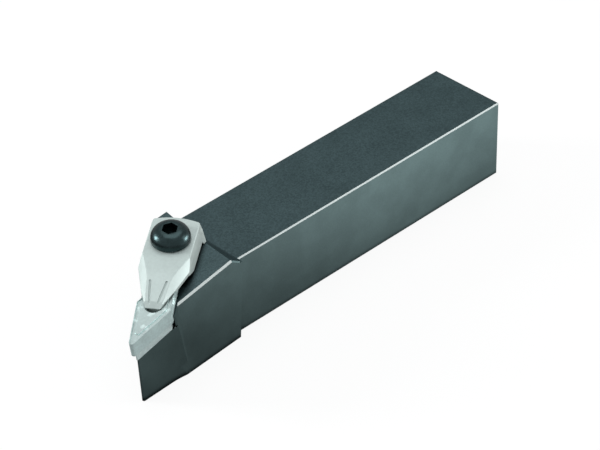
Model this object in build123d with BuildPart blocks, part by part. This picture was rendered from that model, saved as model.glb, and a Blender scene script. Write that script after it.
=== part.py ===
from build123d import *
from math import cos, degrees, radians, sin, tan
import os

# Right-hand external turning tool with a clamped 35 degree insert. Millimetres.
# +X runs along the shank to the cutting end, +Y to the side that cuts, +Z up.
# The origin is the middle of the shank's flat base.

os.makedirs("parts", exist_ok=True)

# Shank and overall size
shank_width = 25.0
shank_height = 25.0
shank_length = 105.0
head_length = 45.0
nose_overhang = 7.0
edge_break = 0.35
crest_break = 0.5

# Head
side_step = 1.7
step_lean = 1.6
side_flare = 3.8
wall_lip = 0.3
wall_lip_lean = 1.0
shoulder_depth = 24
head_rise = 2.54
ramp_angle_near = 32.2
ramp_angle_far = 64.0
ramp_foot_radius = 1.2

# Nose of the head, measured at the base from the cutting corner
nose_back = 5.3
nose_in = 3.72
nose_radius = 0.5
flank_angle = 2.0
flank_relief = 6.3
flank_end_back = 17.0
flank_end_radius = 25.0
front_angle = 41.4
front_relief = 0.7

# Insert
insert_circle = 9.525
insert_angle = 35.0
insert_thickness = 4.76
corner_radius = 0.8
insert_hole = 3.81
hole_rim = 0.45
entering_angle = 93.0
inclination = 11.0
rake = 3.0
groove_land = 0.2
groove_width = 1.1
groove_depth = 0.28
groove_slope = 25.0

# Shim and its screw
shim_thickness = 3.18
shim_set_in = 0.75
shim_nose_radius = 0.3
shim_hole = 3.7
shim_edge = 0.15
shim_screw_thread = 3.5
shim_screw_head = 5.4
shim_screw_sink = 0.25
shim_screw_length = 11.0
shim_screw_key = 2.0
shim_screw_key_depth = 1.3

# Pocket
near_wall_gap = 0.15
corner_relief = 1.2
foot_relief = 0.35
foot_relief_lift = 0.1

# Clamp, in the plane of the head's sloping top
clamp_reach = 22.6
clamp_turn = 34.8
clamp_tilt = 7.1
clamp_top = 6.0
bevel_depth = 2.1
top_half_width = 6.5
edge_half_width = 6.95
heel_half_width = 7.25
heel_flare = 1.0
rear_corner = -5.9
heel_corner = -5.1
rear_top = 7.5
rear_edge = 7.4
rear_heel = 7.1
rear_bulge = 1.15
rear_tuck = 0.15
corner_round = 0.8
top_round = 0.35
taper_start_top = 5.8
taper_start_edge = 9.5
waist_top = (15.1, 2.95)
waist_edge = (17.6, 4.5)
nose_top = (22.7, 0.7)
nose_edge = (23.9, 2.0)
front_slope_start = 14.3
front_slope = 12.5
slope_ease = 2.6
nose_brow_reach = 22.1
nose_front = (23.6, 3.2)
nose_level = 3.0
heel_length = 1.4
arch_height = 0.85
arch_flat_end = 5.9
arch_rise_end = 10.1
insert_clearance = 0.35
pad_length = 3.9
pad_half_width = 1.9
hook_radius = 1.65
hook_depth = 2.6
hook_play = 0.05
hook_front_gap = 1.2
clamp_hole = 6.6
crease_start = (15.6, 2.25)
crease_end = (23.8, 0.95)
crease_radius = 0.3

# Clamp screw
screw_thread = 6.0
screw_head = 11.0
screw_head_height = 4.0
screw_head_wall = 0.8
screw_head_flat = 4.9
screw_length = 20.0
screw_key = 4.0
screw_key_depth = 2.6
screw_rim = 0.3

# Threaded holes and the spring under the clamp
thread_clearance = 0.05
hole_run_out = 3.0
spring_wire = 0.9
spring_mean_radius = 3.8
spring_turns = 3.0
wire_sides = 6
spring_pocket_radius = 4.7
spring_pocket_depth = 4.0

# Places that follow from the sizes above
rear_x = -shank_length / 2
head_x = shank_length / 2
near_y = shank_width / 2
far_y = -shank_width / 2
tip_x = head_x + head_length
tip_y = near_y + nose_overhang
edge_angle = radians(entering_angle - 90)


def tilted_plane(origin, heading, fall, cross_rise=0.0):
    """Plane whose x axis points along a plan heading and falls; its far side rises."""
    slope_x = -tan(fall) * cos(heading) + tan(cross_rise) * sin(heading)
    slope_y = -tan(fall) * sin(heading) - tan(cross_rise) * cos(heading)
    return Plane(
        origin=origin,
        x_dir=(cos(heading), sin(heading), -tan(fall)),
        z_dir=(-slope_x, -slope_y, 1),
    )


# Insert plane: its origin is the middle of the insert's top face
insert_side = insert_circle / sin(radians(insert_angle))
half_nose = radians(insert_angle) / 2
corner_plane = tilted_plane(
    (tip_x - corner_radius, tip_y - corner_radius, shank_height),
    edge_angle,
    radians(inclination),
    radians(rake),
)
centre_back = insert_side / 2 * (1 + cos(2 * half_nose)) - corner_radius / tan(half_nose)
centre_in = insert_side / 2 * sin(2 * half_nose) - corner_radius
insert_top = Plane(
    origin=corner_plane.from_local_coords((-centre_back, -centre_in, 0)),
    x_dir=corner_plane.x_dir,
    z_dir=corner_plane.z_dir,
)
shim_top = insert_top.offset(-insert_thickness)
pocket_floor = shim_top.offset(-shim_thickness)

# Clamp plane: its origin is the clamp screw's axis on the head's sloping top
hole_spot = insert_top.origin
clamp_heading = radians(clamp_turn)
screw_x = hole_spot.X - clamp_reach * cos(clamp_heading)
screw_y = hole_spot.Y - clamp_reach * sin(clamp_heading)
head_top = tilted_plane(
    (screw_x, screw_y, shank_height + head_rise),
    clamp_heading,
    radians(clamp_tilt),
)


def rhombus(set_in=0.0):
    """Corners of the insert's outline moved in on every side: nose, near, tail, far."""
    side = (insert_circle - 2 * set_in) / sin(radians(insert_angle))
    along = Vector(side / 2, 0)
    across = Vector(side / 2 * cos(2 * half_nose), side / 2 * sin(2 * half_nose))
    return [along + across, across - along, -along - across, along - across]


def rounded_rhombus(set_in, radius):
    """Insert outline as a face on the current sketch plane."""
    with BuildSketch(mode=Mode.PRIVATE) as outline:
        with BuildLine():
            Polyline(*rhombus(set_in), close=True)
        make_face()
        fillet(outline.vertices(), radius)
    return outline.sketch


# Holder body: shank
with BuildPart() as holder_body:
    with BuildSketch(Plane.YZ.offset(rear_x)):
        Rectangle(shank_width, shank_height, align=(Align.CENTER, Align.MIN))
    extrude(amount=shank_length)
    long_edges = holder_body.edges().filter_by(Axis.X)
    rear_edges = holder_body.faces().sort_by(Axis.X)[0].edges()
    chamfer(long_edges + rear_edges, edge_break)

    # Head, with its side proud of the shank and flaring towards the nose
    side_y = near_y + side_step
    flare = tan(radians(side_flare))
    with BuildSketch(Plane.XY):
        with BuildLine():
            Polyline(
                (head_x, side_y),
                (tip_x, side_y + head_length * flare),
                (tip_x, far_y),
                (head_x, far_y),
                close=True,
            )
        make_face()
    extrude(amount=shank_height + 3 * head_rise)

    # Shoulder round the insert: a thin lip outside the pocket's near wall that widens downwards
    tail = rhombus()[2]
    wall_dir = Vector(cos(2 * half_nose), sin(2 * half_nose))
    wall_out = Vector(-sin(2 * half_nose), cos(2 * half_nose))
    far_start = tail - Vector(near_wall_gap / sin(2 * half_nose), 0)
    lip_lean = radians(wall_lip_lean)
    wall_line = insert_top.from_local_coords(wall_dir) - insert_top.origin
    wall_side = insert_top.from_local_coords(wall_out) - insert_top.origin
    shoulder = Plane(
        origin=insert_top.from_local_coords(far_start + wall_out * wall_lip),
        x_dir=wall_line,
        z_dir=insert_top.z_dir * cos(lip_lean) - wall_side * sin(lip_lean),
    )
    with BuildSketch(shoulder.offset(-shoulder_depth)):
        with BuildLine():
            Polyline(
                (0, 0),
                (1.2 * insert_side, 0),
                (2.2 * insert_side, -insert_side),
                (insert_side, -insert_side),
                close=True,
            )
        make_face()
    extrude(amount=2 * shoulder_depth)
    split(bisect_by=head_top, keep=Keep.BOTTOM)
    split(bisect_by=Plane.XY, keep=Keep.TOP)

    # The step behind the head's proud side leans forward towards the base
    with BuildSketch(Plane.XZ.offset(-near_y)):
        with BuildLine():
            Polyline(
                (head_x, shank_height),
                (head_x + step_lean, 0),
                (head_x + step_lean, -head_rise),
                (head_x - step_lean, -head_rise),
                (head_x - step_lean, shank_height),
                close=True,
            )
        make_face()
    extrude(amount=-2 * side_step, mode=Mode.SUBTRACT)

    # Ramp from the shank's top up to the head's sloping top, hollow at its foot
    ramp_height = 4 * head_rise
    near_side = near_y + 2 * side_step
    for ramp_y, ramp_angle in ((near_side, ramp_angle_near), (far_y, ramp_angle_far)):
        climb = radians(ramp_angle)
        foot_reach = ramp_foot_radius * tan(climb / 2)
        foot_end = (
            head_x + foot_reach * (1 + cos(climb)),
            shank_height + foot_reach * sin(climb),
        )
        with BuildSketch(Plane.XZ.offset(-ramp_y)):
            with BuildLine():
                TangentArc((head_x, shank_height), foot_end, tangent=(1, 0))
                Polyline(
                    foot_end,
                    (foot_end[0] + ramp_height / tan(climb), foot_end[1] + ramp_height),
                    (head_x - edge_break, foot_end[1] + ramp_height),
                    (head_x - edge_break, shank_height),
                    (head_x, shank_height),
                )
            make_face()
    loft(ruled=True, mode=Mode.SUBTRACT)

    # Broken edge along the head's crest
    crest_x = head_x + head_length / 3
    crest_y = side_y + (crest_x - head_x) * flare
    crest_spot = (crest_x, crest_y, shank_height + head_rise / 2)
    chamfer(holder_body.edges().sort_by_distance(crest_spot)[0], crest_break)

    # The same broken edge down the side of the ramp, cut along it
    ramp_spot = (head_x + head_rise, side_y, shank_height + head_rise / 2)
    ramp_edge = holder_body.edges().sort_by_distance(ramp_spot)[0]
    low_end, high_end = sorted((ramp_edge @ 0, ramp_edge @ 1), key=lambda end: end.Z)
    ramp_line = (high_end - low_end).normalized()
    outward = Vector(-ramp_line.Z, 1, ramp_line.X)
    with BuildSketch(Plane(origin=low_end, x_dir=outward, z_dir=ramp_line)):
        Rectangle(crest_break, 2 * crest_break)
    extrude(amount=(high_end - low_end).length + crest_break, mode=Mode.SUBTRACT)

    # Flank under the cutting edge, leaning in towards the base, with a milled run-out
    lean = radians(flank_relief)
    flank_heading = radians(flank_angle)
    flank_plane = Plane(
        origin=(tip_x - nose_back, tip_y - nose_in, 0),
        x_dir=(cos(flank_heading), sin(flank_heading), 0),
        z_dir=(-sin(flank_heading) * sin(lean), cos(flank_heading) * sin(lean), cos(lean)),
    )
    end_x = nose_back - flank_end_back
    out_x = end_x - 0.6 * flank_end_radius
    out_y = 0.2 * flank_end_radius
    with BuildSketch(flank_plane):
        with BuildLine():
            TangentArc((end_x, 0), (out_x, out_y), tangent=(-1, 0))
            Polyline(
                (out_x, out_y),
                (out_x, 2 * out_y),
                (4 * nose_back, 2 * out_y),
                (4 * nose_back, 0),
                (end_x, 0),
            )
        make_face()
    extrude(amount=2 * shank_height, both=True, mode=Mode.SUBTRACT)

    # Front of the head, from the nose back to the far side
    front_heading = radians(front_angle)
    back_lean = radians(front_relief)
    front_plane = Plane(
        origin=(tip_x - nose_back, tip_y - nose_in, 0),
        x_dir=(cos(front_heading), sin(front_heading), 0),
        z_dir=(
            sin(front_heading) * cos(back_lean),
            -cos(front_heading) * cos(back_lean),
            -sin(back_lean),
        ),
    )
    split(bisect_by=front_plane, keep=Keep.BOTTOM)
    nose_edge_spot = (tip_x - nose_back, tip_y - nose_in, 0)
    upright = holder_body.edges().filter_by(
        lambda edge: abs((edge @ 1).Z - (edge @ 0).Z) > shank_height / 2
    )
    fillet(upright.sort_by_distance(nose_edge_spot)[0], nose_radius)

    # Insert pocket: floor and two walls, open towards the cutting edges
    reach_out = 2 * insert_side
    with BuildSketch(pocket_floor):
        with BuildLine():
            Polyline(
                far_start,
                far_start + wall_dir * reach_out,
                far_start + wall_dir * reach_out + Vector(reach_out, 0),
                far_start + Vector(reach_out, 0),
                close=True,
            )
        make_face()
        with Locations(tail + (wall_dir + Vector(1, 0)) * (corner_relief / 2)):
            Circle(corner_relief)
    extrude(amount=2 * insert_thickness + shim_thickness, mode=Mode.SUBTRACT)

    # Groove along the foot of each wall
    groove_line = pocket_floor.offset(foot_relief_lift)
    near_foot = Plane(
        origin=groove_line.from_local_coords(far_start),
        z_dir=groove_line.from_local_coords(far_start + wall_dir)
        - groove_line.from_local_coords(far_start),
    )
    far_foot = Plane(
        origin=groove_line.from_local_coords(far_start),
        z_dir=groove_line.x_dir,
    )
    for foot in (near_foot, far_foot):
        with BuildSketch(foot):
            Circle(foot_relief)
        extrude(amount=reach_out, mode=Mode.SUBTRACT)

    # Threaded hole for the shim screw
    thread_radius = shim_screw_thread / 2 + thread_clearance
    with BuildSketch(pocket_floor):
        Circle(thread_radius)
    extrude(amount=-(shim_screw_length + hole_run_out / 2), mode=Mode.SUBTRACT)

    # Threaded hole and spring pocket for the clamp screw
    with BuildSketch(head_top):
        Circle(screw_thread / 2 + thread_clearance)
    extrude(amount=-(screw_length - clamp_top + hole_run_out), mode=Mode.SUBTRACT)
    with BuildSketch(head_top):
        Circle(spring_pocket_radius)
    extrude(amount=-spring_pocket_depth, mode=Mode.SUBTRACT)

# Insert: a rhombic prism with a chip groove round both faces and a hole through it
with BuildPart() as insert:
    with BuildSketch(insert_top):
        add(rounded_rhombus(0, corner_radius))
    extrude(amount=-insert_thickness)
    for face_plane in (insert_top, Plane(
        origin=shim_top.origin, x_dir=shim_top.x_dir, z_dir=-shim_top.z_dir
    )):
        flip = 1 if face_plane is insert_top else -1
        with BuildSketch(face_plane):
            if flip == 1:
                add(rounded_rhombus(groove_land, corner_radius * 0.7))
            else:
                add(mirror(rounded_rhombus(groove_land, corner_radius * 0.7), about=Plane.XZ))
        extrude(amount=-groove_depth, taper=groove_slope, mode=Mode.SUBTRACT)
        with BuildSketch(face_plane.offset(-groove_depth)):
            if flip == 1:
                add(rounded_rhombus(groove_width, corner_radius))
            else:
                add(mirror(rounded_rhombus(groove_width, corner_radius), about=Plane.XZ))
        extrude(amount=groove_depth, taper=groove_slope)
    with BuildSketch(insert_top):
        Circle(insert_hole / 2)
    extrude(amount=-insert_thickness, mode=Mode.SUBTRACT)
    rims = insert.edges().filter_by(GeomType.CIRCLE).filter_by(
        lambda e: abs(e.radius - insert_hole / 2) < 0.01
    )
    chamfer(rims, hole_rim)

# Shim under the insert, held by its own countersunk screw
cone_depth = (shim_screw_head - shim_screw_thread) / 2
with BuildPart() as shim:
    with BuildSketch(shim_top):
        add(rounded_rhombus(shim_set_in, shim_nose_radius))
    extrude(amount=-shim_thickness)
    chamfer(shim.faces().sort_by(Axis.Z)[-1].edges(), shim_edge)
    with BuildSketch(shim_top):
        Circle(shim_hole / 2)
    extrude(amount=-shim_thickness, mode=Mode.SUBTRACT)
    with BuildSketch(shim_top):
        Circle(shim_screw_head / 2 + thread_clearance)
    extrude(amount=-shim_screw_sink, mode=Mode.SUBTRACT)
    with BuildSketch(shim_top.offset(-shim_screw_sink)):
        Circle(shim_screw_head / 2 + thread_clearance)
    extrude(amount=-cone_depth, taper=45, mode=Mode.SUBTRACT)

# Shim screw: flat countersunk head with a hexagon socket
screw_face = shim_top.offset(-shim_screw_sink)
with BuildPart() as shim_screw:
    with BuildSketch(screw_face):
        Circle(shim_screw_head / 2)
    extrude(amount=-cone_depth, taper=45)
    with BuildSketch(screw_face.offset(-cone_depth)):
        Circle(shim_screw_thread / 2)
    extrude(amount=cone_depth - shim_screw_length)
    chamfer(shim_screw.faces().sort_by(Axis.Z)[0].edges(), shim_screw_thread / 10)
    with BuildSketch(screw_face):
        RegularPolygon(shim_screw_key / 2, 6, major_radius=False)
    extrude(amount=-shim_screw_key_depth, mode=Mode.SUBTRACT)


def clamp_outline(level, rear, corner, shoulder, waist, nose):
    """Sketch of the clamp's outline on a level above the head, from the rear to the nose."""
    with BuildSketch(head_top.offset(level)) as outline:
        with BuildLine():
            ThreePointArc((rear[0], -rear[1]), (rear[0] - rear_bulge, 0), rear)
            near = [rear, corner, shoulder, waist, nose]
            Polyline(*near)
            Polyline(*[(u, -v) for u, v in near])
            Line(nose, (nose[0], -nose[1]))
        make_face()
        ends = [outline.vertices().sort_by_distance((rear[0], v))[0] for v in (rear[1], -rear[1])]
        fillet(ends, corner_round)
    return outline.sketch


# Clamp: a bridge from its heel on the head to a nose pad and hook at the insert's hole
clamp_profile = Plane(
    origin=head_top.origin, x_dir=head_top.x_dir, z_dir=-head_top.y_dir
)
hook_turn = degrees(clamp_heading - edge_angle)
hook_dir = Vector(cos(radians(hook_turn)), sin(radians(hook_turn)))
front_fall = radians(front_slope)
nose_brow = (
    nose_brow_reach,
    clamp_top - (nose_brow_reach - front_slope_start) * tan(front_fall),
)
slope_start = front_slope_start - slope_ease
slope_end = (
    front_slope_start + slope_ease * cos(front_fall),
    clamp_top - slope_ease * sin(front_fall),
)
with BuildPart() as clamp:
    heel_outline = clamp_outline(
        0,
        (-rear_heel, heel_half_width + heel_flare),
        (heel_corner, heel_half_width),
        (taper_start_edge, heel_half_width),
        waist_edge,
        nose_edge,
    )
    edge_outline = clamp_outline(
        clamp_top - bevel_depth,
        (-rear_edge, edge_half_width + heel_flare / 4),
        (rear_corner, edge_half_width),
        (taper_start_edge, edge_half_width),
        waist_edge,
        nose_edge,
    )
    top_outline = clamp_outline(
        clamp_top,
        (-rear_top, top_half_width - rear_tuck),
        (rear_corner, top_half_width),
        (taper_start_top, top_half_width),
        waist_top,
        nose_top,
    )
    loft([heel_outline, edge_outline, top_outline], ruled=True)

    # Arch underneath, from the heel to the nose
    arch_start = heel_length - rear_heel
    far_off = 2 * rear_heel + clamp_reach
    with BuildSketch(clamp_profile):
        with BuildLine():
            Polyline(
                (arch_start, -clamp_top),
                (arch_start, 0),
                (arch_start + arch_height / 2, arch_height),
                (arch_flat_end, arch_height),
                (arch_rise_end, nose_level),
                (far_off, nose_level),
                (far_off, -clamp_top),
                close=True,
            )
        make_face()
    extrude(amount=2 * heel_half_width, both=True, mode=Mode.SUBTRACT)

    # Falling top and steep nose
    with BuildSketch(clamp_profile):
        with BuildLine():
            TangentArc((slope_start, clamp_top), slope_end, tangent=(1, 0))
            Polyline(
                slope_end,
                nose_brow,
                nose_front,
                (nose_front[0], 0),
                (far_off, 0),
                (far_off, 2 * clamp_top),
                (slope_start, 2 * clamp_top),
                (slope_start, clamp_top),
            )
        make_face()
    extrude(amount=2 * heel_half_width, both=True, mode=Mode.SUBTRACT)

    # Rounded edges all round the top
    top_middle = head_top.from_local_coords((0, 0, clamp_top))
    top_face = clamp.faces().sort_by_distance(top_middle)[0]
    slope_line = top_face.edges().sort_by_distance(
        head_top.from_local_coords((slope_start, 0, clamp_top))
    )[0]
    fillet([edge for edge in top_face.edges() if edge != slope_line], top_round)

    # Hollow over the insert, which leaves a pad that presses on its top
    with BuildSketch(insert_top):
        with BuildLine():
            Polyline(*rhombus(-insert_clearance), close=True)
        make_face()
    extrude(amount=-2 * insert_thickness, mode=Mode.SUBTRACT)
    with BuildSketch(insert_top):
        with BuildLine():
            Polyline(*rhombus(-insert_clearance), close=True)
        make_face()
        with Locations(hook_dir * (insert_hole - pad_length / 2)):
            Rectangle(
                pad_length + 2 * insert_hole,
                2 * pad_half_width,
                rotation=hook_turn,
                mode=Mode.SUBTRACT,
            )
    extrude(amount=insert_clearance, mode=Mode.SUBTRACT)

    # Hook that reaches into the insert's hole and draws the insert back
    hook_shift = insert_hole / 2 - hook_radius - hook_play
    with BuildSketch(insert_top):
        with Locations(hook_dir * -hook_shift):
            Circle(hook_radius)
        with Locations(hook_dir * (insert_hole / 2 - hook_front_gap - insert_hole)):
            Rectangle(
                2 * insert_hole, 2 * insert_hole, rotation=hook_turn, mode=Mode.INTERSECT
            )
    extrude(amount=-hook_depth)

    # Narrow groove along each side of the falling top
    for crease_side in (1, -1):
        start_u, start_v = crease_start
        end_u, end_v = crease_end
        start_level = clamp_top - (start_u - front_slope_start) * tan(front_fall)
        end_level = clamp_top - (end_u - front_slope_start) * tan(front_fall)
        crease_from = head_top.from_local_coords((start_u, crease_side * start_v, start_level))
        crease_to = head_top.from_local_coords((end_u, crease_side * end_v, end_level))
        with BuildSketch(Plane(origin=crease_from, z_dir=crease_to - crease_from)):
            Circle(crease_radius)
        extrude(amount=(crease_to - crease_from).length, mode=Mode.SUBTRACT)

    # Hole for the clamp screw
    with BuildSketch(head_top):
        Circle(clamp_hole / 2)
    extrude(amount=2 * clamp_top, mode=Mode.SUBTRACT)

# Clamp screw: round head with a hexagon socket
screw_axis = Axis(head_top.origin, head_top.z_dir)
with BuildPart() as clamp_screw:
    with BuildSketch(clamp_profile):
        with BuildLine():
            Polyline(
                (0, clamp_top + screw_head_height),
                (0, clamp_top - screw_length),
                (screw_thread / 2 - screw_rim, clamp_top - screw_length),
                (screw_thread / 2, clamp_top - screw_length + screw_rim),
                (screw_thread / 2, clamp_top),
                (screw_head / 2 - screw_rim, clamp_top),
                (screw_head / 2, clamp_top + screw_rim),
                (screw_head / 2, clamp_top + screw_head_wall),
            )
            TangentArc(
                (screw_head / 2, clamp_top + screw_head_wall),
                (screw_head_flat / 2, clamp_top + screw_head_height),
                tangent=(0, 1),
            )
            Line(
                (screw_head_flat / 2, clamp_top + screw_head_height),
                (0, clamp_top + screw_head_height),
            )
        make_face()
    revolve(axis=screw_axis)
    with BuildSketch(head_top.offset(clamp_top + screw_head_height)):
        RegularPolygon(screw_key / 2, 6, major_radius=False)
    extrude(amount=-screw_key_depth, mode=Mode.SUBTRACT)

# Spring that lifts the clamp when its screw is slackened
spring_base = head_top.offset(spring_wire / 2 - spring_pocket_depth)
spring_rise = spring_pocket_depth + arch_height - spring_wire
with BuildPart() as clamp_spring:
    with BuildLine():
        coil = Helix(
            spring_rise / spring_turns,
            spring_rise,
            spring_mean_radius,
            center=spring_base.origin,
            direction=spring_base.z_dir,
        )
    with BuildSketch(Plane(origin=coil @ 0, z_dir=coil % 0)):
        RegularPolygon(spring_wire / 2, wire_sides)
    sweep(path=coil, is_frenet=True)

holder_body.part.label = "holder_body"
insert.part.label = "insert"
shim.part.label = "shim"
shim_screw.part.label = "shim_screw"
clamp.part.label = "clamp"
clamp_screw.part.label = "clamp_screw"
clamp_spring.part.label = "clamp_spring"

export_step(holder_body.part, "parts/holder_body.step")
export_step(insert.part, "parts/insert.step")
export_step(shim.part, "parts/shim.step")
export_step(shim_screw.part, "parts/shim_screw.step")
export_step(clamp.part, "parts/clamp.step")
export_step(clamp_screw.part, "parts/clamp_screw.step")
export_step(clamp_spring.part, "parts/clamp_spring.step")
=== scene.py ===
# %% [markdown]
# # An external turning tool
#
# A lathe tool of this kind is a square steel bar with a head forged and milled at one end. A small
# rhombic plate of hard carbide sits in a pocket in the head, on a second plate called the shim, and
# a clamp with one screw holds both down. The solids come from the CAD model and stay as they are.
# This file gives them their finishes, adds the fine work that a CAD solid leaves out, such as the
# screw threads and the coils of the spring, and then sets up the light and the camera.

import math

import bmesh
import bpy
from mathutils import Matrix, Vector


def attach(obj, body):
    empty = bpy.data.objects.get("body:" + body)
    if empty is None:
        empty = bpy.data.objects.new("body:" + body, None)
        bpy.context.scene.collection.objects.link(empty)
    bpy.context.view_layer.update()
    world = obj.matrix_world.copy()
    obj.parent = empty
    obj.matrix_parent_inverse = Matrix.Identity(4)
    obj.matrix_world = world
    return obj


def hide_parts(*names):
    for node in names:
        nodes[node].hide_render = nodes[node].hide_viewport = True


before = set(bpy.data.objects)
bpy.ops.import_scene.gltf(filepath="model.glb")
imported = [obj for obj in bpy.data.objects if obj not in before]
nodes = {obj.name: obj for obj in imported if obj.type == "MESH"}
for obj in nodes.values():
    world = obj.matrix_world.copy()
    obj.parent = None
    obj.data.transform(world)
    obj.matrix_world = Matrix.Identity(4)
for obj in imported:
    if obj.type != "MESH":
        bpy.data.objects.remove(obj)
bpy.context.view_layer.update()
print("CAD nodes:", sorted(nodes))

# %% [markdown]
# ## Finishes
#
# Every piece here is metal or carbide, but no two kinds have the same skin. The holder is blackened
# steel, the clamp is nickel plated and the insert is carbide. Their trees share a few short helpers.
# A mix node has several sockets of the same name, so its colour sockets are found by number.

# %% Helpers for sums, steps and mixes
mix_first = 6
mix_second = 7
mix_result = 2


def add_node(tree, kind, **values):
    """Adds a node and sets its inputs by name."""
    node = tree.nodes.new(kind)
    for name, value in values.items():
        node.inputs[name.replace("_", " ")].default_value = value
    return node


def maths(tree, operation, first, second=None, third=None):
    """One sum on sockets or plain values."""
    node = tree.nodes.new("ShaderNodeMath")
    node.operation = operation
    for index, value in enumerate((first, second, third)):
        if value is None:
            continue
        if isinstance(value, (int, float)):
            node.inputs[index].default_value = value
        else:
            tree.links.new(value, node.inputs[index])
    return node.outputs["Value"]


def ramp(tree, value, span, result=(0.0, 1.0)):
    """A smooth step: while the value crosses the span, the result goes from its low to its high."""
    node = tree.nodes.new("ShaderNodeMapRange")
    node.interpolation_type = "SMOOTHSTEP"
    node.inputs["From Min"].default_value = span[0]
    node.inputs["From Max"].default_value = span[1]
    node.inputs["To Min"].default_value = result[0]
    node.inputs["To Max"].default_value = result[1]
    tree.links.new(value, node.inputs["Value"])
    return node.outputs["Result"]


def blend(tree, factor, first, second):
    """Mixes two colours by a factor."""
    node = tree.nodes.new("ShaderNodeMix")
    node.data_type = "RGBA"
    tree.links.new(factor, node.inputs["Factor"])
    for socket, value in ((node.inputs[mix_first], first), (node.inputs[mix_second], second)):
        if isinstance(value, tuple):
            socket.default_value = value + (1,)
        else:
            tree.links.new(value, socket)
    return node.outputs[mix_result]


def tinted(tree, colour, amount):
    """A colour made lighter and darker by a factor round 1."""
    node = tree.nodes.new("ShaderNodeVectorMath")
    node.operation = "SCALE"
    if isinstance(colour, tuple):
        node.inputs[0].default_value = colour
    else:
        tree.links.new(colour, node.inputs[0])
    tree.links.new(amount, node.inputs["Scale"])
    return node.outputs["Vector"]


print("node helpers are ready")

# %% [markdown]
# A real metal is never perfectly even, so every skin carries a grain on Object coordinates: a fine
# noise and a broad one, multiplied. Both vary the colour, and on all but the oiled and the drawn
# steel the fine one also makes tiny bumps. The direction a face looks in tells tops from sides.

# %% Helpers for the grain
bump_depth = 0.00004
fine_span = (0.34, 0.66)
broad_span = (0.3, 0.7)


def noise(tree, spot, scale, detail, rough):
    """A noise on the given coordinates, from about 0.3 to 0.7."""
    node = add_node(tree, "ShaderNodeTexNoise", Scale=scale, Detail=detail, Roughness=rough)
    tree.links.new(spot, node.inputs["Vector"])
    return node.outputs["Fac"]


def mottled(tree, fine, broad, fine_result, broad_result, span=fine_span):
    """A tone round 1, from a fine and a broad noise."""
    small = ramp(tree, fine, span, fine_result)
    large = ramp(tree, broad, broad_span, broad_result)
    return maths(tree, "MULTIPLY", small, large)


def new_metal(name, shine):
    """An empty metal: its material, tree and surface, its Object coordinates and its facing."""
    material = bpy.data.materials.new(name)
    material.use_nodes = True
    tree = material.node_tree
    surface = tree.nodes["Principled BSDF"]
    surface.inputs["Metallic"].default_value = shine
    place = tree.nodes.new("ShaderNodeTexCoord")
    facing = tree.nodes.new("ShaderNodeSeparateXYZ")
    tree.links.new(place.outputs["Normal"], facing.inputs["Vector"])
    return material, tree, surface, place.outputs["Object"], facing.outputs


def roughen(tree, surface, height, strength):
    """Turns a grain into small bumps."""
    bump = add_node(tree, "ShaderNodeBump", Strength=strength, Distance=bump_depth)
    tree.links.new(height, bump.inputs["Height"])
    tree.links.new(bump.outputs["Normal"], surface.inputs["Normal"])


print("bumps are at most", bump_depth, "m deep")

# %% [markdown]
# ### Blackened steel
#
# The holder's black is a thin oxide grown on the steel in a hot bath. It keeps a metal's shine but
# sends back only a little light. The faces that look up are milled coarser, so they are speckled and
# rougher, and the ground sides are a calmer satin. The tops also get a darker colour and the sides a
# lighter one, which is painted shade and painted light by facing. Along the broken long edges the
# oxide is rubbed off, and the thin bright line of bare steel colour there is also partly a painted
# highlight. The normal tells the faces apart: an edge between a top and a side leans half up and
# half sideways.
#
# The small shoulder beside the pocket turns back from the ground side, and its darker colour is
# painted shade. Painted shade also darkens the skin where other faces stand close, in the corners
# and under the clamp. An oxide mirrors less than bare metal at a grazing angle, so its edge tint is
# dark.

# %% Blackened steel for the holder
# The tops' darker colour and the sides' lighter one are painted shade and painted light by facing.
black_up = (0.065, 0.099, 0.105)
black_side = (0.165, 0.24, 0.242)
# Bare steel on the broken edges, partly a painted highlight.
bare_steel_and_highlight = (0.40, 0.44, 0.434)
edge_tint = (0.4, 0.4, 0.4, 1)
looking_up = (0.5, 0.72)
half_up_half_side = (0.40, 0.46)
speckle_scale = 2100.0
cloud_scale = 130.0
top_speckle = (0.8, 1.2)
top_cloud = (0.95, 1.06)
side_speckle = (0.96, 1.04)
side_cloud = (0.93, 1.07)
# Painted shade on the small shoulder beside the pocket.
shoulder_back = (0.3, 0.5)
shoulder_side = (0.5, 0.7)
shoulder_painted_shade = -0.3
# Painted shade where other faces stand close: in the corners and under the clamp.
corner_reach = 0.0035
corner_span = (0.45, 0.82)
corner_tone = (0.1, 1.0)
ground_roughness = 0.4
milled_extra = 0.08
worn_extra = -0.1
black_pits = 0.25


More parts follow.
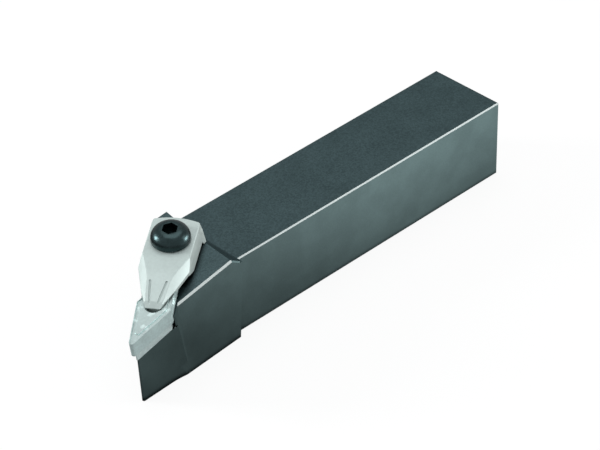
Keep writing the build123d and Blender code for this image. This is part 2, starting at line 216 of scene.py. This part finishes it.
def blackened(name):
    """Black oxide on milled and ground steel; painted light, shade and edge highlight."""
    material, tree, surface, spot, facing = new_metal(name, 1.0)
    upward = ramp(tree, facing["Z"], looking_up)
    # The edge line: partly oxide rubbed off, partly a painted highlight.
    leaning = maths(tree, "ABSOLUTE", maths(tree, "MULTIPLY", facing["Y"], facing["Z"]))
    worn_and_highlit = ramp(tree, leaning, half_up_half_side)
    speckle = noise(tree, spot, speckle_scale, detail=4.0, rough=0.65)
    cloud = noise(tree, spot, cloud_scale, detail=3.0, rough=0.5)
    # Painted shade on the tops and painted light on the sides, mixed by facing.
    top = tinted(tree, black_up, mottled(tree, speckle, cloud, top_speckle, top_cloud))
    side = tinted(tree, black_side, mottled(tree, speckle, cloud, side_speckle, side_cloud))
    # The shoulder beside the pocket is darkened with painted shade.
    backward = ramp(tree, maths(tree, "MULTIPLY", facing["X"], -1.0), shoulder_back)
    shoulder = maths(tree, "MULTIPLY", backward, ramp(tree, facing["Y"], shoulder_side))
    dimmed = maths(tree, "MULTIPLY_ADD", shoulder, shoulder_painted_shade, 1.0)
    skin = tinted(tree, blend(tree, upward, side, top), dimmed)
    # Painted shade where other faces stand close, in the corners and under the clamp.
    corner = add_node(tree, "ShaderNodeAmbientOcclusion", Distance=corner_reach)
    painted_corner_shade = ramp(tree, corner.outputs["AO"], corner_span, corner_tone)
    shown = tinted(tree, blend(tree, worn_and_highlit, skin, bare_steel_and_highlight), painted_corner_shade)
    tree.links.new(shown, surface.inputs["Base Color"])
    surface.inputs["Specular Tint"].default_value = edge_tint
    coarse = maths(tree, "MAXIMUM", upward, shoulder)
    dull = maths(tree, "MULTIPLY_ADD", coarse, milled_extra, ground_roughness)
    roughness = maths(tree, "MULTIPLY_ADD", worn_and_highlit, worn_extra, dull)
    tree.links.new(roughness, surface.inputs["Roughness"])
    roughen(tree, surface, speckle, black_pits)
    return material


blackened_steel = blackened("blackened_steel")
print("holder:", blackened_steel.name)

# %% [markdown]
# ### Nickel, carbide and screw steel
#
# The clamp is forged, tumbled and plated, so its pale skin is soft and hardly mirrors anything; its
# sides get a darker colour than its top, which is painted shade. The insert is pressed and sintered,
# and then its sides are ground: its top has a fine sparkle of painted glints, and its sides have
# none; they get a lighter colour than the top, which is painted light. The shim is a little lighter
# still, a painted highlight along the foot of the insert. The screws are blackened and oiled, which
# makes them glossy.

# %% One recipe for the pale pieces and the screws
satin_up = (0.3, 0.6)
satin_span = (0.35, 0.65)
glint_span = (0.54, 0.66)
broad_share = 9
glint_share = 3


def satin(name, colour, rough, shine, grain, uneven, side_colour=None, painted_sparkle=0.0, pits=0.0):
    """A satin metal: painted glints can lie on its tops, and painted light and shade on its sides."""
    material, tree, surface, spot, facing = new_metal(name, shine)
    upward = ramp(tree, facing["Z"], satin_up)
    fine = noise(tree, spot, grain, detail=4.0, rough=0.6)
    broad = noise(tree, spot, grain / broad_share, detail=3.0, rough=0.5)
    swing = (1 - uneven, 1 + uneven)
    tone = mottled(tree, fine, broad, swing, swing, satin_span)
    # Painted glints: patches of lighter colour on the faces that look up.
    patches = noise(tree, spot, grain / glint_share, detail=2.0, rough=0.5)
    painted_glints = maths(tree, "MULTIPLY", ramp(tree, patches, glint_span), upward)
    # A side colour of its own is painted light and shade by facing.
    side = tinted(tree, side_colour or colour, tone)
    skin = blend(tree, upward, side, tinted(tree, colour, tone))
    lift = maths(tree, "MULTIPLY_ADD", painted_glints, painted_sparkle, 1.0)
    tree.links.new(tinted(tree, skin, lift), surface.inputs["Base Color"])
    tree.links.new(maths(tree, "MULTIPLY", tone, rough), surface.inputs["Roughness"])
    if pits:
        roughen(tree, surface, fine, pits)
    return material


print("the satin recipe is ready")

# %% The finishes of the other pieces
nickel_plate = satin(
    "nickel_plate",
    colour=(0.46, 0.535, 0.52),
    # The sides' darker colour is painted shade.
    side_colour=(0.37, 0.425, 0.41),
    rough=0.55,
    shine=0.45,
    grain=1100,
    uneven=0.03,
    pits=0.06,
)
ground_carbide = satin(
    "ground_carbide",
    colour=(0.41, 0.492, 0.484),
    # The sides' lighter colour is painted light.
    side_colour=(0.64, 0.8, 0.79),
    rough=0.42,
    shine=0.8,
    grain=1500,
    uneven=0.05,
    # Painted glints on the insert's top.
    painted_sparkle=0.36,
    pits=0.15,
)
shim_carbide = satin(
    "shim_carbide",
    # A little lighter than the insert's sides: a painted highlight along the insert's foot.
    colour=(0.72, 0.86, 0.85),
    rough=0.42,
    shine=0.8,
    grain=1500,
    uneven=0.06,
    pits=0.05,
)
oiled_screw_steel = satin(
    "oiled_screw_steel",
    colour=(0.034, 0.054, 0.056),
    rough=0.27,
    shine=1.0,
    grain=800,
    uneven=0.08,
)
spring_wire_steel = satin(
    "spring_wire_steel",
    colour=(0.42, 0.42, 0.41),
    rough=0.3,
    shine=1.0,
    grain=1500,
    uneven=0.05,
)
finishes = {
    "holder_body": blackened_steel,
    "insert": ground_carbide,
    "shim": shim_carbide,
    "shim_screw": oiled_screw_steel,
    "clamp": nickel_plate,
    "clamp_screw": oiled_screw_steel,
    "clamp_spring": spring_wire_steel,
}
for name, finish in finishes.items():
    mesh = nodes[name].data
    mesh.materials.clear()
    mesh.materials.append(finish)
    print(name, "gets", finish.name)

# %% [markdown]
# ## The spring and the threads
#
# A coil spring and a screw thread follow the same rule: one profile that climbs round an axis. So
# both come from one Geometry Nodes tree. It winds a helix, sweeps a small circle along it and closes
# the ends. With many sides the circle is a round wire. With four sides it is a diamond, and its outer
# point is the crest of a thread. The sizes are inputs, so one tree serves the spring and two screws.

# %% A tree that winds a profile round an axis
round_sides = 14
diamond_sides = 4
steps_in_a_turn = 40


def winding_tree():
    """Inputs: profile radius, profile sides, coil radius, turns, climb and material."""
    tree = bpy.data.node_groups.new("winding", "GeometryNodeTree")
    kinds = {
        "Profile Radius": "NodeSocketFloat",
        "Profile Sides": "NodeSocketInt",
        "Coil Radius": "NodeSocketFloat",
        "Turns": "NodeSocketFloat",
        "Climb": "NodeSocketFloat",
        "Finish": "NodeSocketMaterial",
    }
    for name, kind in kinds.items():
        tree.interface.new_socket(name, in_out="INPUT", socket_type=kind)
    tree.interface.new_socket("Geometry", in_out="OUTPUT", socket_type="NodeSocketGeometry")
    given = tree.nodes.new("NodeGroupInput")
    made = tree.nodes.new("NodeGroupOutput")
    helix = add_node(tree, "GeometryNodeCurveSpiral", Resolution=steps_in_a_turn)
    tree.links.new(given.outputs["Turns"], helix.inputs["Rotations"])
    tree.links.new(given.outputs["Coil Radius"], helix.inputs["Start Radius"])
    tree.links.new(given.outputs["Coil Radius"], helix.inputs["End Radius"])
    tree.links.new(given.outputs["Climb"], helix.inputs["Height"])
    upright = tree.nodes.new("GeometryNodeSetCurveNormal")
    upright.mode = "Z_UP"
    tree.links.new(helix.outputs["Curve"], upright.inputs["Curve"])
    circle = tree.nodes.new("GeometryNodeCurvePrimitiveCircle")
    tree.links.new(given.outputs["Profile Sides"], circle.inputs["Resolution"])
    tree.links.new(given.outputs["Profile Radius"], circle.inputs["Radius"])
    sweep = add_node(tree, "GeometryNodeCurveToMesh", Fill_Caps=True)
    tree.links.new(upright.outputs["Curve"], sweep.inputs["Curve"])
    tree.links.new(circle.outputs["Curve"], sweep.inputs["Profile Curve"])
    real = tree.nodes.new("GeometryNodeRealizeInstances")
    tree.links.new(sweep.outputs["Mesh"], real.inputs["Geometry"])
    dress = tree.nodes.new("GeometryNodeSetMaterial")
    tree.links.new(real.outputs["Geometry"], dress.inputs["Geometry"])
    tree.links.new(given.outputs["Finish"], dress.inputs["Material"])
    tree.links.new(dress.outputs["Geometry"], made.inputs["Geometry"])
    return tree


winding = winding_tree()
winding_inputs = [item for item in winding.interface.items_tree if item.in_out == "INPUT"]
print("tree inputs:", [item.name for item in winding_inputs])

# %% [markdown]
# The tree works round the Z axis. Afterwards its mesh is turned onto the real axis, which leans with
# the head's sloping top or with the insert's seat.

# %% Wind a piece on an axis
weld_distance = 1e-7


def axis_frame(origin, axis):
    """A frame whose Z runs along a screw's axis."""
    turned = Vector(axis).to_track_quat("Z", "Y").to_matrix().to_4x4()
    turned.translation = Vector(origin)
    return turned


def wind(name, where, finish, smooth, **sizes):
    """Runs the tree with the given sizes and returns a plain mesh object in its place."""
    seed_mesh = bpy.data.meshes.new(name + "_seed")
    seed = bpy.data.objects.new(name + "_seed", seed_mesh)
    bpy.context.scene.collection.objects.link(seed)
    modifier = seed.modifiers.new("winding", "NODES")
    modifier.node_group = winding
    for item in winding_inputs:
        label = item.name.lower().replace(" ", "_")
        modifier[item.identifier] = finish if label == "finish" else sizes[label]
    bpy.context.view_layer.update()
    result = seed.evaluated_get(bpy.context.evaluated_depsgraph_get())
    mesh = bpy.data.meshes.new_from_object(result)
    bpy.data.objects.remove(seed)
    shell = bmesh.new()
    shell.from_mesh(mesh)
    bmesh.ops.remove_doubles(shell, verts=shell.verts, dist=weld_distance)
    bmesh.ops.recalc_face_normals(shell, faces=shell.faces)
    shell.to_mesh(mesh)
    shell.free()
    mesh.transform(where)
    mesh.name = name
    if smooth:
        mesh.shade_smooth()
    else:
        mesh.shade_flat()
    piece = bpy.data.objects.new(name, mesh)
    bpy.context.scene.collection.objects.link(piece)
    print(name, len(mesh.polygons), "faces")
    return piece


print("points closer than", weld_distance, "m are joined")

# %% [markdown]
# The spring stands in its bore round the screw and pushes the clamp up when the screw is loosened.
# Its wire is 0.9 mm thick. Only its last turn reaches out of the bore, to the clamp's underside.

# %% The spring
mm = 0.001
clamp_axis = Vector((0.1015, 0.07054, 0.99233))
clamp_spot = Vector((66.068, 1.206, 27.54)) * mm
wire = 0.9 * mm
bore_depth = 4.0 * mm
spring_room = 4.85 * mm
spring_radius = 3.8 * mm
spring_turns = 3.0
spring_foot = clamp_spot + clamp_axis * (wire / 2 - bore_depth)
spring_coil = wind(
    "spring_coil",
    axis_frame(spring_foot, clamp_axis),
    spring_wire_steel,
    True,
    profile_radius=wire / 2,
    profile_sides=round_sides,
    coil_radius=spring_radius,
    turns=spring_turns,
    climb=spring_room - wire,
)
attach(spring_coil, "root")
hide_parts("clamp_spring")

# %% [markdown]
# A screw's thread is cut into its shank, so the crest is as wide as the plain CAD shank and the core
# is thinner. A copy of the CAD screw gets that thinner core by drawing in the points of its shank,
# and the wound diamond stands on it. The head and the socket stay as they are. The underside of each
# head is measured along the screw's axis, from the spot where the axis starts.

# %% Threads on both screws
thread_share = 0.55
margin = 1e-5


def threaded(node, finish, origin, axis, pitch, underside):
    """Replaces a plain screw by one with a core and a wound thread of the same outer size."""
    where = axis_frame(origin, axis)
    back = where.inverted()
    bare_ends = 2 * pitch
    core_mesh = nodes[node].data.copy()
    points = [back @ vertex.co for vertex in core_mesh.vertices]
    shank_points = [point for point in points if point.z < underside - bare_ends]
    crest = max(math.hypot(point.x, point.y) for point in shank_points)
    tip = min(point.z for point in shank_points)
    core = crest - thread_share * pitch
    for vertex, point in zip(core_mesh.vertices, points):
        wide = math.hypot(point.x, point.y)
        if point.z < underside + margin and core < wide < crest + margin:
            vertex.co = where @ Vector((point.x * core / wide, point.y * core / wide, point.z))
    core_piece = bpy.data.objects.new(node + "_core", core_mesh)
    bpy.context.scene.collection.objects.link(core_piece)
    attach(core_piece, "root")
    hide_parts(node)
    climb = underside - tip - bare_ends
    thread = wind(
        node + "_thread",
        where @ Matrix.Translation((0, 0, tip + pitch)),
        finish,
        False,
        profile_radius=pitch / 2,
        profile_sides=diamond_sides,
        coil_radius=crest - pitch / 2,
        turns=climb / pitch,
        climb=climb,
    )
    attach(thread, "root")
    print(node, "crest radius", round(crest / mm, 2), "mm, core radius", round(core / mm, 2), "mm")


seat_axis = Vector((0.18761, 0.06128, 0.98033))
shim_spot = Vector((83.733, 13.813, 22.931)) * mm
clamp_screw_pitch = 1.0 * mm
clamp_screw_underside = 6.05 * mm
shim_screw_pitch = 0.6 * mm
shim_screw_underside = -1.1 * mm
threaded(
    "clamp_screw",
    oiled_screw_steel,
    clamp_spot,
    clamp_axis,
    clamp_screw_pitch,
    clamp_screw_underside,
)
threaded(
    "shim_screw",
    oiled_screw_steel,
    shim_spot,
    seat_axis,
    shim_screw_pitch,
    shim_screw_underside,
)

# %% [markdown]
# ## Floor and background
#
# The tool lies on a white sheet. The sheet takes its shadow, and rays that come straight from the
# camera see it lifted towards white. The tool's satin side mirrors the sheet right beside it, and its
# long gradient comes from painted shade on the sheet that only shiny surfaces see: the lift they see
# fades along the tool towards the head and close to the tool, so the side is bright towards the rear
# and dark beside the head. A small painted dark patch deepens the tone where the head's flank runs
# out.

# %% White floor
reach = 6.0
sheet_colour = (0.9, 0.9, 0.9)
sheet_glow = (1.0, 1.0, 1.0)
sheet_lift = 0.9
# Painted shade on the sheet that only shiny surfaces see: darker towards the head and close to the
# tool.
pool_along = (0.065, -0.03)
pool_dark = 0.35
pool_beside = (0.01, 0.045)
pool_near = 0.4
# A painted dark patch, seen only in reflections, by the run-out of the head's flank.
dark_patch_spot = (0.064, 0.026, 0.0)
dark_patch_edge = (0.002, 0.018)
dark_patch_tone = 0.5


def white_sheet(name):
    """A matte white, lifted to white for the camera and, with painted shade, for shiny surfaces."""
    material = bpy.data.materials.new(name)
    material.use_nodes = True
    tree = material.node_tree
    tree.nodes.clear()
    out = tree.nodes.new("ShaderNodeOutputMaterial")
    place = tree.nodes.new("ShaderNodeTexCoord")
    spot = tree.nodes.new("ShaderNodeSeparateXYZ")
    tree.links.new(place.outputs["Object"], spot.inputs["Vector"])
    # Painted shade seen only in reflections: darker towards the head and close to the tool.
    along = ramp(tree, spot.outputs["X"], pool_along, (pool_dark, 1.0))
    beside = ramp(tree, spot.outputs["Y"], pool_beside, (pool_near, 1.0))
    gap = tree.nodes.new("ShaderNodeVectorMath")
    gap.operation = "DISTANCE"
    gap.inputs[1].default_value = dark_patch_spot
    tree.links.new(place.outputs["Object"], gap.inputs[0])
    # The painted dark patch by the flank's run-out.
    painted_dark_patch = ramp(tree, gap.outputs["Value"], dark_patch_edge, (dark_patch_tone, 1.0))
    pool = maths(tree, "MULTIPLY", maths(tree, "MULTIPLY", along, beside), painted_dark_patch)
    path = tree.nodes.new("ShaderNodeLightPath")
    glossy = path.outputs["Is Glossy Ray"]
    shade = maths(tree, "SUBTRACT", pool, 1.0)
    matte_tone = maths(tree, "MULTIPLY_ADD", glossy, shade, 1.0)
    matte = tree.nodes.new("ShaderNodeBsdfDiffuse")
    tree.links.new(tinted(tree, sheet_colour, matte_tone), matte.inputs["Color"])
    glow = tree.nodes.new("ShaderNodeEmission")
    tree.links.new(tinted(tree, sheet_glow, matte_tone), glow.inputs["Color"])
    seen = maths(tree, "MAXIMUM", path.outputs["Is Camera Ray"], glossy)
    mix = tree.nodes.new("ShaderNodeMixShader")
    tree.links.new(maths(tree, "MULTIPLY", seen, sheet_lift), mix.inputs["Fac"])
    tree.links.new(matte.outputs["BSDF"], mix.inputs[1])
    tree.links.new(glow.outputs["Emission"], mix.inputs[2])
    tree.links.new(mix.outputs["Shader"], out.inputs["Surface"])
    return material


floor_mesh = bpy.data.meshes.new("floor")
floor_mesh.from_pydata(
    [(-reach, -reach, 0), (reach, -reach, 0), (reach, reach, 0), (-reach, reach, 0)],
    [],
    [(0, 1, 2, 3)],
)
floor_sheet = bpy.data.objects.new("floor", floor_mesh)
bpy.context.scene.collection.objects.link(floor_sheet)
floor_mesh.materials.append(white_sheet("white_sheet"))
print("floor", reach * 2, "m across")

# %% [markdown]
# ## Light
#
# A soft studio. A pale surround and a large lamp overhead give the even tone of the tops. A tall
# lamp at the right is mirrored in the broken edges and on the clamp's side. Two smaller lamps, one
# at the left and one low at the right, make the two glints on the screw's head. Each row below gives
# a lamp's direction, distance, width and height in metres, and its power in watts.

# %% World and lamps
surround_colour = (0.97, 0.99, 1.0, 1)
surround_strength = 0.62
tool_middle = Vector((0.03, 0.0, 0.015))
lamps = {
    "overhead": ((-0.17, -0.1, 0.98), 1.2, 0.9, 0.9, 4.2),
    "tall_right": ((-0.6, 0.62, 0.42), 1.0, 0.3, 0.55, 0.9),
    "left_glint": ((0.63, -0.68, 0.36), 1.0, 0.27, 0.34, 7.8),
    "right_glint": ((-0.72, 0.59, 0.14), 1.0, 0.36, 0.24, 5.2),
}
world = bpy.data.worlds.new("studio")
bpy.context.scene.world = world
world.use_nodes = True
surround = world.node_tree.nodes["Background"]
surround.inputs["Color"].default_value = surround_colour
surround.inputs["Strength"].default_value = surround_strength


def soft_lamp(name, direction, distance, width, height, power):
    """An area lamp that looks at the tool from a direction."""
    data = bpy.data.lights.new(name, "AREA")
    data.shape = "RECTANGLE"
    data.size = width
    data.size_y = height
    data.energy = power
    lamp = bpy.data.objects.new(name, data)
    bpy.context.scene.collection.objects.link(lamp)
    away = Vector(direction).normalized()
    lamp.location = tool_middle + away * distance
    lamp.rotation_mode = "QUATERNION"
    lamp.rotation_quaternion = away.to_track_quat("Z", "Y")
    print(name, "at", [round(c, 2) for c in lamp.location])


for name, row in lamps.items():
    soft_lamp(name, *row)

# %% [markdown]
# ## Camera
#
# The picture was solved for its camera from the corners of the square shank, so the view here has
# the same place, turn and lens. The lens is long: the picture was taken from some distance.

# %% Camera from the solved view
shank = 0.025
shank_corner = Vector((-0.0525, -0.0125, 0))
azimuth = math.radians(45.876)
elevation = math.radians(36.232)
roll = math.radians(-1.083)
focal_pixels = 2829.2
picture_width = 600
sensor_width = 36.0
farthest = 50.0
offset = Vector((-1.626, -1.026, 34.046)) * shank
back = Vector((
    math.cos(elevation) * math.cos(azimuth),
    math.cos(elevation) * math.sin(azimuth),
    math.sin(elevation),
))
level = Vector((0, 0, 1)).cross(back).normalized()
upright = back.cross(level)
right = level * math.cos(roll) + upright * math.sin(roll)
up = upright * math.cos(roll) - level * math.sin(roll)
turn_matrix = Matrix((right, up, back)).transposed()
camera_spot = turn_matrix @ offset + shank_corner
camera_data = bpy.data.cameras.new("camera")
camera_data.sensor_width = sensor_width
camera_data.lens = focal_pixels * sensor_width / picture_width
camera_data.clip_end = farthest
camera = bpy.data.objects.new("camera", camera_data)
bpy.context.scene.collection.objects.link(camera)
camera.matrix_world = Matrix.Translation(camera_spot) @ turn_matrix.to_4x4()
bpy.context.scene.camera = camera
bpy.context.scene.view_settings.view_transform = "Standard"
print("camera at", [round(c, 3) for c in camera_spot], "lens", round(camera_data.lens, 1), "mm")

# %% [markdown]
#
# The dressed tool should be the size of the CAD solids. Here the view layer is brought up to date.

# %% Finish
bpy.context.view_layer.update()
